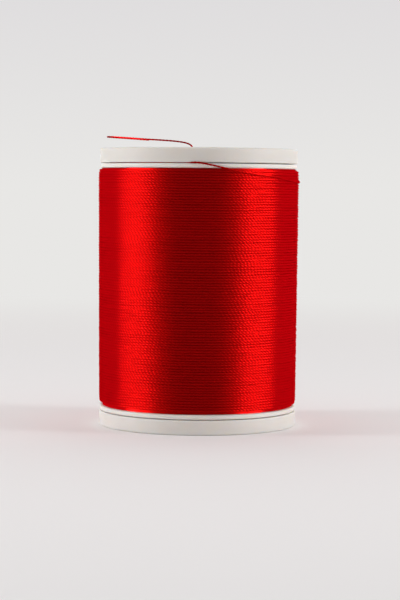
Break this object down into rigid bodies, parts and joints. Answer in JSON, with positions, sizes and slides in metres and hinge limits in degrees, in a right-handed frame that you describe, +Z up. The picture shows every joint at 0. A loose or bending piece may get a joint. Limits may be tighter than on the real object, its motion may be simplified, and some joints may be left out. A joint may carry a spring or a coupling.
{
  "type": "spool of thread",
  "caption": "Sewing thread on a moulded spool, with a snap cap at each end that nips the loose end.",
  "frame": {"origin": "middle of the lower cap's resting face, without the loose end of the thread", "axes": "+Z up along the spool's axis"},
  "size_m": [0.0359, 0.038, 0.0515],
  "materials": {
    "moulded_lip": "moulded",
    "moulded_cap": "moulded",
    "label_paper": "plain paper",
    "thread_buried": "spun polyester",
    "thread": "spun polyester"
  },
  "bodies": {
    "spool": {"barrel": "moulded_lip", "thread_inner_layers": "thread_buried", "thread_outer_turns": "thread", "thread_tail": "thread"},
    "top_cap": {"top_snap_cap": "moulded_cap", "top_end_label": "label_paper"},
    "bottom_cap": {"bottom_snap_cap": "moulded_cap", "bottom_end_label": "label_paper"}
  },
  "joints": [
    {"name": "top_cap_lift", "type": "slide", "parent": "spool", "child": "top_cap", "axis": [0, 0, 1], "range_m": [0, 0.0012]},
    {"name": "bottom_cap_lift", "type": "slide", "parent": "spool", "child": "bottom_cap", "axis": [0, 0, -1], "range_m": [0, 0.0012]}
  ]
}
